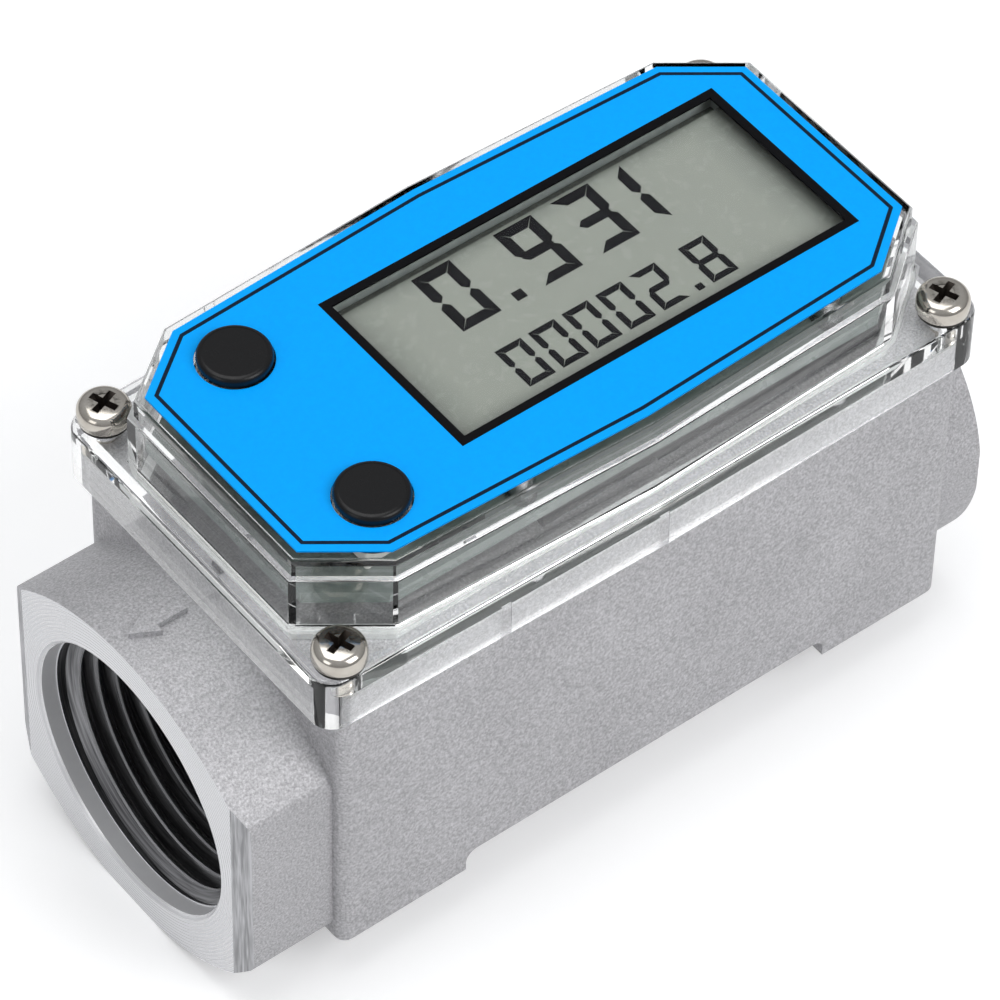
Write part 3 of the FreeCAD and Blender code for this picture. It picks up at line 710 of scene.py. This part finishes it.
def cover_flange():
    flange = new_box("clear_cover", (COVER_LOW.x, -FLANGE_HALF_Y, COVER_LOW.z),
                     (COVER_HIGH.x, FLANGE_HALF_Y, FLANGE_TOP))
    pick(flange, "EDGE", lambda e: along(e, 2) > 3)
    bevel(FLANGE_CORNER_RADIUS, 7)
    crown_long_sides(flange, FLANGE_HALF_Y, FLANGE_CROWN)
    round_level_edges(flange, FLANGE_TOP, FLANGE_EDGE_ROUND, 3, room=0.05)
    return flange


def skirt_hollow():
    """Room inside the skirt, with a notch for each rib on its long walls."""
    half_y = COVER_HIGH.y - HOLLOW_SIDE_WALL
    hollow = new_box("hollow", (COVER_LOW.x + HOLLOW_END_WALL, -half_y, COVER_LOW.z - 2),
                     (COVER_HIGH.x - HOLLOW_END_WALL, half_y, FLANGE_UNDER))
    pick(hollow, "EDGE", lambda e: along(e, 2) > 3)
    bevel(HOLLOW_CORNER_RADIUS, 5)
    for x in RIB_PLACES:
        for side in (-1, 1):
            wall_y = side * half_y
            notch = new_box("rib", (x - RIB_HALF_WIDTH, wall_y - 0.15, 40),
                            (x + RIB_HALF_WIDTH, wall_y + RIB_DEPTH, 55))
            carve(hollow, notch)
    return hollow


def clear_cover():
    """Flange and skirt with the raised dome on them, hollow inside, with posts for the board."""
    dome = LABEL_MARGIN + DOME_MARGIN
    ledge = dome + LEDGE_WIDTH
    ledge_z = DOME_TOP - LEDGE_DROP
    cover = cover_flange()
    hollow = skirt_hollow()
    carve(cover, label_plan("dome", ledge, FLANGE_UNDER + 0.5, ledge_z), "UNION")
    round_level_edges(cover, FLANGE_TOP, DOME_FOOT_ROUND, 4,
                      also=lambda place: inside_plan(place, ledge + 0.1))
    round_level_edges(cover, ledge_z, LEDGE_ROUND, 3)
    top = label_plan("dome_top", dome, ledge_z - 1, DOME_TOP)
    round_level_edges(top, DOME_TOP, DOME_TOP_ROUND, 3)
    carve(cover, top, "UNION")
    carve(cover, hollow)
    carve(cover, label_plan("inside", ledge - DOME_WALL, FLANGE_UNDER - 2, DOME_UNDER))
    post_y = POST_HIGH.y - BOARD_SCREW_RADIUS
    for x in (POST_LOW.x + BOARD_SCREW_RADIUS, POST_HIGH.x - BOARD_SCREW_RADIUS):
        for y in (-post_y, post_y):
            post = new_cylinder("post", POST_RADIUS, (x, y, BOARD_TOP), (x, y, DOME_UNDER + 0.5), 40)
            carve(cover, post, "UNION")
    for x, y in screw_places():
        carve(cover, new_cylinder("screw_hole", SCREW_HOLE_RADIUS, (x, y, 40), (x, y, FLANGE_TOP + 2), 40))
    cut_button_holes(cover, DOME_UNDER - 2, DOME_TOP + 2)
    finish_piece(cover, "meter", "clear_plastic", CLEAR, WINDOW)
    paint_faces(cover, 1, lambda c, n: abs(n.z) > 0.99 and c.z > DOME_UNDER - 0.1)
    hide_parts("display_cover")


def cut_button_holes(piece, low_z, high_z):
    radius = BUTTON_RADIUS + BUTTON_GAP
    for x, y in button_places():
        carve(piece, new_cylinder("button_hole", radius, (x, y, low_z), (x, y, high_z), 64))


# ---- label ----
def window_block(name, margin, low_z=55.0, high_z=70.0):
    half_x = WINDOW_LENGTH / 2 + margin
    half_y = WINDOW_WIDTH / 2 + margin
    return new_box(name, (WINDOW_X - half_x, WINDOW_Y - half_y, low_z),
                   (WINDOW_X + half_x, WINDOW_Y + half_y, high_z))


def face_label():
    """Blue sheet with its window and button holes, the thin line round it and the window's rim."""
    sheet = label_plan("blue_label", LABEL_MARGIN, LABEL_LOW.z, LABEL_HIGH.z)
    round_level_edges(sheet, LABEL_HIGH.z, 0.06, 2)
    carve(sheet, window_block("window", WINDOW_RIM))
    cut_button_holes(sheet, 60, 66)
    finish_piece(sheet, "meter", "blue_label", BLUE)
    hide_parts("face_label")
    print_under = LABEL_HIGH.z - 0.05
    print_top = LABEL_HIGH.z + PRINT_RISE
    line = label_plan("label_line", LINE_HALF_WIDTH, print_under, print_top)
    carve(line, label_plan("line_inside", -LINE_HALF_WIDTH, 50, 70))
    finish_piece(line, "meter", "blue_label", LINE_INK)
    border = window_block("window_border", BORDER_WIDTH, print_under, print_top)
    carve(border, window_block("border_depth", WINDOW_RIM, LABEL_LOW.z, LABEL_HIGH.z), "UNION")
    carve(border, window_block("border_inside", 0))
    finish_piece(border, "meter", "blue_label", INK)


# ---- display digits ----
BAR_GAP = 0.11
BAR_UNDER = PANEL_TOP - 0.02
BAR_TOP = PANEL_TOP + 0.04
UPPER_DIGIT = {"y": 1.8, "width": 5.15, "height": 9.3, "stroke": 1.32}
LOWER_DIGIT = {"y": -8.75, "width": 3.5, "height": 6.2, "stroke": 0.8}
UPPER_ROW = (("0", -4.73), ("9", 6.45), ("3", 14.35), ("1", 18.8))
LOWER_ROW = (("0", -3.95), ("0", 0.58), ("0", 5.15), ("0", 9.75), ("2", 14.4), ("8", 21.2))
LIT = {"0": "abcdef", "1": "bc", "2": "abged", "3": "abgcd", "8": "abcdefg", "9": "abcdfg"}


def segment(name, key, x, y, width, height, stroke):
    """One bar of a seven-bar digit, with ends mitred at its corners and points at its middle."""
    middle_y = y + height / 2
    left = x + stroke
    right = x + width - stroke
    spans = {
        "a": (x, x + width, y + height - stroke, y + height), "d": (x, x + width, y, y + stroke),
        "g": (x, x + width, middle_y - stroke / 2, middle_y + stroke / 2),
        "b": (right, x + width, middle_y, y + height), "c": (right, x + width, y, middle_y),
        "f": (x, left, middle_y, y + height), "e": (x, left, y, middle_y),
    }
    low_x, high_x, low_y, high_y = spans[key]
    bar = new_box(name, (low_x, low_y, BAR_UNDER), (high_x, high_y, BAR_TOP))
    tip = stroke / 2
    cuts = {
        "a": (((x, y + height), (1, 1)), ((x + width, y + height), (-1, 1))),
        "d": (((x, y), (1, -1)), ((x + width, y), (-1, -1))),
        "g": (((x + tip / 2, middle_y), (1, 1)), ((x + tip / 2, middle_y), (1, -1)),
              ((x + width - tip / 2, middle_y), (-1, 1)), ((x + width - tip / 2, middle_y), (-1, -1))),
        "b": (((x + width, y + height), (1, -1)), ((x + width - tip, middle_y), (1, 1)),
              ((x + width - tip, middle_y), (-1, 1))),
        "c": (((x + width, y), (1, 1)), ((x + width - tip, middle_y), (1, -1)),
              ((x + width - tip, middle_y), (-1, -1))),
        "f": (((x, y + height), (-1, -1)), ((x + tip, middle_y), (-1, 1)), ((x + tip, middle_y), (1, 1))),
        "e": (((x, y), (-1, 1)), ((x + tip, middle_y), (-1, -1)), ((x + tip, middle_y), (1, -1))),
    }
    for (px, py), (nx, ny) in cuts[key]:
        normal = Vector((nx, ny, 0)).normalized()
        slice_off(bar, Vector((px, py, 0)) + normal * BAR_GAP / 2, normal)
    return bar


def digits():
    """Two rows of digits and their points, joined into one piece."""
    bars = []
    for row, (size, numbers) in enumerate(((UPPER_DIGIT, UPPER_ROW), (LOWER_DIGIT, LOWER_ROW))):
        for place, (digit, x) in enumerate(numbers):
            for key in LIT[digit]:
                bars.append(segment(f"digit_{row}_{place}_{key}", key, x, **size))
    for name, x, y, side in (("upper_point", 2.67, 1.8, 1.35), ("lower_point", 19.2, -8.75, 0.9)):
        bars.append(new_box(name, (x, y, BAR_UNDER), (x + side, y + side, BAR_TOP)))
    free()
    for bar in bars:
        bar.select_set(True)
    bpy.context.view_layer.objects.active = bars[0]
    bpy.ops.object.join()
    bars[0].name = "display_digits"
    finish_piece(bars[0], "meter", "display_glass", INK)


# ---- buttons ----
def button(node, body):
    """Rubber cap with a rounded rim, a shallow dish and the lip that holds it under the dome."""
    low, high = node_box(node)
    x = (low.x + high.x) / 2
    y = (low.y + high.y) / 2
    cap = new_cylinder(node + "_cap", BUTTON_RADIUS, (x, y, low.z), (x, y, high.z), 96)
    pick(cap, "FACE", lambda f: f.normal.z > 0.9)
    bpy.ops.mesh.inset(thickness=CAP_RIM_WIDTH * MM)
    crown = Vector((x, y, high.z))
    round_level_edges(cap, high.z, CAP_ROUND, 6, also=lambda place: (place - crown).length > 4.0)
    pick(cap, "FACE", lambda f: f.normal.z > 0.9)
    bpy.ops.mesh.inset(thickness=CAP_DISH_WIDTH * MM)
    bpy.ops.transform.translate(value=(0, 0, -CAP_DISH_DEPTH * MM))
    lip_radius = (high.x - low.x) / 2
    carve(cap, new_cylinder("lip", lip_radius, (x, y, low.z), (x, y, low.z + CAP_LIP_HEIGHT), 96), "UNION")
    finish_piece(cap, body, "black_rubber", RUBBER)
    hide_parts(node)


# ---- screws ----
def cross_recess(x, y, top):
    """Two tapered blades at right angles, to be cut out of a screw's head."""
    blades = []
    for turn in (20, 110):
        blade = new_box("cross", (-2.0, -0.45, -1.9), (2.0, 0.45, 0.6))
        pick(blade, "VERT", lambda v: v.co.z < 0)
        bpy.ops.transform.resize(value=(0.36, 0.75, 1), center_override=(0, 0, 0))
        free()
        place = Matrix.Translation(Vector((x, y, top)) * MM)
        blade.data.transform(place @ Matrix.Rotation(math.radians(turn), 4, "Z"))
        blades.append(blade)
    carve(blades[0], blades[1], "UNION")
    return blades[0]


def cover_screws():
    """One screw is made, and copied to the other three corners."""
    seat = WASHER_HIGH.z
    top = SCREW_HIGH.z
    x, y = screw_places()[0]
    head = new_cylinder("cover_screw_1", SCREW_HEAD_RADIUS, (x, y, seat), (x, y, top), 64)
    round_level_edges(head, top, SCREW_CROWN_ROUND, 8)
    round_level_edges(head, seat, SCREW_RIM_ROUND, 2)
    pick(head, "FACE", lambda f: f.normal.z > 0.99)
    bpy.ops.mesh.inset(thickness=SCREW_FACE_INSET * MM)
    carve(head, cross_recess(x, y, top))
    shank = new_cylinder("shank", SHANK_RADIUS, (x, y, SCREW_LOW.z + SCREW_POINT), (x, y, seat + 0.3), 40)
    pick(shank, "FACE", lambda f: f.normal.z < -0.9)
    bpy.ops.mesh.extrude_region_move(TRANSFORM_OT_translate={"value": (0, 0, -SCREW_POINT * MM)})
    bpy.ops.transform.resize(value=(0.25, 0.25, 1), center_override=(x * MM, y * MM, 0))
    carve(head, shank, "UNION")
    finish_piece(head, "meter", "nickel_screw", NICKEL, RECESS_PAINTED_SHADE)
    # The recess's walls and floor take the darker nickel, painted shade inside the cross.
    paint_faces(head, 1, lambda c, n: (c - Vector((x, y, c.z))).length < 2.1 and c.z > top - 2.1
                and (abs(n.z) < 0.8 or c.z < top - 0.6))
    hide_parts("cover_screws")
    for number, (other_x, other_y) in enumerate(screw_places()[1:], start=2):
        twin = copy_piece(head, f"cover_screw_{number}", (other_x - x, other_y - y, 0))
        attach(twin, "meter")


# ---- threads and arrow ----
def pipe_thread(name, mouth_x, inward):
    """Helical ridge on the wall of a nozzle's bore, behind a plain mouth."""
    length = THREAD_TURNS * THREAD_PITCH
    crest = THREAD_RADIUS - THREAD_HEIGHT
    root = THREAD_RADIUS + 0.05
    free()
    bpy.ops.mesh.primitive_circle_add(vertices=4, radius=1 * MM, rotation=(math.pi / 2, 0, 0))
    ridge = settle(name)
    pick(ridge, "VERT", lambda v: True)
    mesh = bmesh.from_edit_mesh(ridge.data)
    corners = ((-1.05, root), (-0.14, crest), (0.14, crest), (1.05, root))
    for vertex, (x, z) in zip(mesh.verts, corners):
        vertex.co = Vector((x, 0, z)) * MM
    bmesh.update_edit_mesh(ridge.data)
    choose(ridge)
    screw = ridge.modifiers.new("helix", "SCREW")
    screw.axis = "X"
    screw.angle = THREAD_TURNS * 2 * math.pi
    screw.screw_offset = length * MM
    screw.steps = int(72 * THREAD_TURNS)
    screw.render_steps = screw.steps
    bpy.ops.object.modifier_apply(modifier="helix")
    start = mouth_x + THREAD_START
    if inward < 0:
        start = mouth_x - THREAD_START - length
    ridge.data.transform(Matrix.Translation(Vector((start, 0, AXIS_Z)) * MM))
    pick(ridge, "FACE", lambda f: True)
    bpy.ops.mesh.fill_holes(sides=8)
    bpy.ops.mesh.normals_make_consistent(inside=False)
    # The thread's flanks take the bore's painted shade, and the crests take the turned finish.
    finish_piece(ridge, "meter", "cast_body", BORE_PAINTED_SHADE, TURNED)
    paint_faces(ridge, 1, lambda c, n: from_axis(c) < crest + 0.05)


def flow_arrow():
    """Raised cast arrow on the crown of the outlet nozzle, pointing along the flow."""
    head = new_box("flow_arrow", (ARROW_TIP_X, ARROW_Y - ARROW_HALF_WIDTH, 35),
                   (ARROW_NECK_X, ARROW_Y + ARROW_HALF_WIDTH, 46))
    for side in (-1, 1):
        slope = Vector((ARROW_NECK_X - ARROW_TIP_X, side * ARROW_HALF_WIDTH, 0))
        normal = Vector((slope.y, -slope.x, 0)).normalized() * side
        slice_off(head, (ARROW_TIP_X, ARROW_Y, 40), normal)
    shaft = new_box("shaft", (ARROW_NECK_X - 0.4, ARROW_Y - ARROW_SHAFT_HALF_WIDTH, 35),
                    (ARROW_SHAFT_END_X, ARROW_Y + ARROW_SHAFT_HALF_WIDTH, 46))
    carve(head, shaft, "UNION")
    centre = AXIS_Z - CROWN_DROP
    raised = new_cylinder("raised", CROWN_RADIUS + ARROW_RISE, (-55, 0, centre), (-35, 0, centre), 240)
    carve(head, raised, "INTERSECT")
    carve(head, new_cylinder("under", CROWN_RADIUS - 0.3, (-56, 0, centre), (-34, 0, centre), 240))
    finish_piece(head, "meter", "cast_body", CAST)


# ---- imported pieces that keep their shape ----
def dress_packed_pieces():
    """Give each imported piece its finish, with steel for those that have none of their own."""
    finishes = {
        "lcd_panel": GLASS,
        "cover_gasket": speckled("pale_silicone", (0.55, 0.56, 0.56), (0.68, 0.69, 0.69), 1200, 0, 0.5),
        "cover_washers": speckled("dark_washer", (0.02, 0.018, 0.016), (0.05, 0.045, 0.04), 900, 0.7, 0.35),
        "lcd_holder": speckled("holder_grey", (0.2, 0.225, 0.215), (0.26, 0.285, 0.275), 700, 0, 0.4),
        "zebra_strips": speckled("zebra_rubber", (0.02, 0.02, 0.02), (0.3, 0.3, 0.3), 2500, 0, 0.5),
        "circuit_board": speckled("board_laminate", (0.09, 0.115, 0.105), (0.15, 0.18, 0.17), 350, 0, 0.3),
        "battery_tray": speckled("tray_plastic", (0.012, 0.012, 0.013), (0.03, 0.03, 0.032), 800, 0, 0.45),
        "battery_cells": speckled("cell_jacket", (0.05, 0.055, 0.06), (0.09, 0.095, 0.1), 600, 0, 0.3),
        "pickup_coil": speckled("copper_coil", (0.3, 0.1, 0.03), (0.55, 0.22, 0.09), 1500, 0.9, 0.35),
        "rotor": speckled("rotor_plastic", (0.6, 0.6, 0.58), (0.75, 0.75, 0.73), 900, 0, 0.35),
    }
    steel = speckled("bright_steel", (0.45, 0.45, 0.46), (0.62, 0.62, 0.63), 700, 1, 0.25)
    black = speckled("black_epoxy", (0.01, 0.01, 0.01), (0.025, 0.025, 0.025), 1000, 0, 0.4)
    white = speckled("support_plastic", (0.5, 0.5, 0.48), (0.66, 0.66, 0.64), 800, 0, 0.4)
    for name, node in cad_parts.items():
        finish = finishes.get(name)
        if finish is None:
            if "support" in name or "switch" in name:
                finish = white
            elif "chip" in name or "bearing" in name:
                finish = black
            else:
                finish = steel
        node.data.materials.clear()
        node.data.materials.append(finish)


# ---- camera and light ----
CAMERA_AZIMUTH = math.radians(-38.901)
CAMERA_ELEVATION = math.radians(48.802)
CAMERA_ROLL = math.radians(1.388)
CAMERA_DISTANCE = 0.6854
CAMERA_SIDESTEP = -0.00311
CAMERA_RISE = -0.0214
CAMERA_LENS = 230.3


def make_camera():
    """Camera that looks down at the label from the outlet's side."""
    target = Vector((LABEL_LOW.x + LABEL_HIGH.x, 0, 2 * LABEL_HIGH.z)) / 2 * MM
    back = Vector((math.sin(CAMERA_AZIMUTH) * math.cos(CAMERA_ELEVATION),
                   -math.cos(CAMERA_AZIMUTH) * math.cos(CAMERA_ELEVATION), math.sin(CAMERA_ELEVATION)))
    level = Vector((math.cos(CAMERA_AZIMUTH), math.sin(CAMERA_AZIMUTH), 0))
    upright = back.cross(level)
    right = math.cos(CAMERA_ROLL) * level + math.sin(CAMERA_ROLL) * upright
    up = math.cos(CAMERA_ROLL) * upright - math.sin(CAMERA_ROLL) * level
    place = target + back * CAMERA_DISTANCE + right * CAMERA_SIDESTEP + up * CAMERA_RISE
    data = bpy.data.cameras.new("camera")
    data.lens = CAMERA_LENS
    data.sensor_width = 36
    data.clip_end = 10
    camera = bpy.data.objects.new("camera", data)
    camera.matrix_world = Matrix.Translation(place) @ Matrix((right, up, back)).transposed().to_4x4()
    bpy.context.scene.collection.objects.link(camera)
    bpy.context.scene.camera = camera


def add_softbox(name, place, aim, width, height, power):
    data = bpy.data.lights.new(name, "AREA")
    data.shape = "RECTANGLE"
    data.size = width
    data.size_y = height
    data.energy = power
    lamp = bpy.data.objects.new(name, data)
    direction = Vector(aim) - Vector(place)
    lamp.matrix_world = Matrix.Translation(place) @ direction.to_track_quat("-Z", "Y").to_matrix().to_4x4()
    bpy.context.scene.collection.objects.link(lamp)


def seen_rays(tree):
    """1 for rays that look straight, or through glass, at the backdrop."""
    path = tree.nodes.new("ShaderNodeLightPath")
    either = tree.nodes.new("ShaderNodeMath")
    either.operation = "MAXIMUM"
    tree.links.new(path.outputs["Is Camera Ray"], either.inputs[0])
    tree.links.new(path.outputs["Is Transmission Ray"], either.inputs[1])
    return either.outputs["Value"]


def make_world():
    """Room that is bright above and darker towards the floor, behind a white backdrop."""
    world = bpy.data.worlds.new("studio")
    bpy.context.scene.world = world
    world.use_nodes = True
    nodes = world.node_tree.nodes
    links = world.node_tree.links
    nodes.clear()
    place = nodes.new("ShaderNodeTexCoord")
    parts = nodes.new("ShaderNodeSeparateXYZ")
    links.new(place.outputs["Generated"], parts.inputs["Vector"])
    sky = nodes.new("ShaderNodeValToRGB")
    sky.color_ramp.elements[0].position = 0.0
    sky.color_ramp.elements[0].color = (0.55, 0.55, 0.56, 1)
    sky.color_ramp.elements[1].position = 0.75
    sky.color_ramp.elements[1].color = (0.9, 0.92, 0.95, 1)
    links.new(parts.outputs["Z"], sky.inputs["Fac"])
    room = nodes.new("ShaderNodeBackground")
    room.inputs["Strength"].default_value = 0.5
    links.new(sky.outputs["Color"], room.inputs["Color"])
    white = nodes.new("ShaderNodeBackground")
    white.inputs["Color"].default_value = (1, 1, 1, 1)
    white.inputs["Strength"].default_value = 1.0
    mix = nodes.new("ShaderNodeMixShader")
    out = nodes.new("ShaderNodeOutputWorld")
    links.new(seen_rays(world.node_tree), mix.inputs["Fac"])
    links.new(room.outputs["Background"], mix.inputs[1])
    links.new(white.outputs["Background"], mix.inputs[2])
    links.new(mix.outputs["Shader"], out.inputs["Surface"])


def make_floor():
    """Pale paper that keeps the shadow and looks nearly white where it is seen."""
    free()
    bpy.ops.mesh.primitive_plane_add(size=6, location=(0, 0, 0))
    floor = settle("floor")
    paper, shader = new_material("floor_paper", (0.93, 0.93, 0.93), 0, 0.8)
    value = noise(paper, object_place(paper), 30)
    paper.node_tree.links.new(ramp(paper, value, [(0.3, (0.92, 0.92, 0.92)), (0.7, (0.94, 0.94, 0.94))]),
                              shader.inputs["Base Color"])
    nodes = paper.node_tree.nodes
    links = paper.node_tree.links
    lift = nodes.new("ShaderNodeEmission")
    lift.inputs["Strength"].default_value = 0.24
    off = nodes.new("ShaderNodeEmission")
    off.inputs["Strength"].default_value = 0.0
    choice = nodes.new("ShaderNodeMixShader")
    total = nodes.new("ShaderNodeAddShader")
    links.new(seen_rays(paper.node_tree), choice.inputs["Fac"])
    links.new(off.outputs["Emission"], choice.inputs[1])
    links.new(lift.outputs["Emission"], choice.inputs[2])
    links.new(shader.outputs["BSDF"], total.inputs[0])
    links.new(choice.outputs["Shader"], total.inputs[1])
    links.new(total.outputs["Shader"], nodes["Material Output"].inputs["Surface"])
    floor.data.materials.append(paper)


make_camera()
make_world()
add_softbox("key_light", (0.25, -0.75, 0.75), (0, 0, 0.04), 0.6, 0.6, 4.6)
add_softbox("top_light", (-0.1, 0.15, 1.0), (0, 0, 0.05), 0.8, 0.8, 4.0)
add_softbox("outlet_light", (-0.9, -0.1, 0.45), (0, 0, 0.03), 0.4, 0.4, 0.7)
bpy.context.scene.view_settings.view_transform = "Standard"
make_floor()
dress_packed_pieces()
cast_body()
clear_cover()
face_label()
digits()
button("display_button", "display_key")
button("calibrate_button", "calibrate_key")
cover_screws()
pipe_thread("outlet_thread_ridge", BODY_LOW.x, 1)
pipe_thread("inlet_thread_ridge", BODY_HIGH.x, -1)
flow_arrow()
free()

bpy.context.view_layer.update()
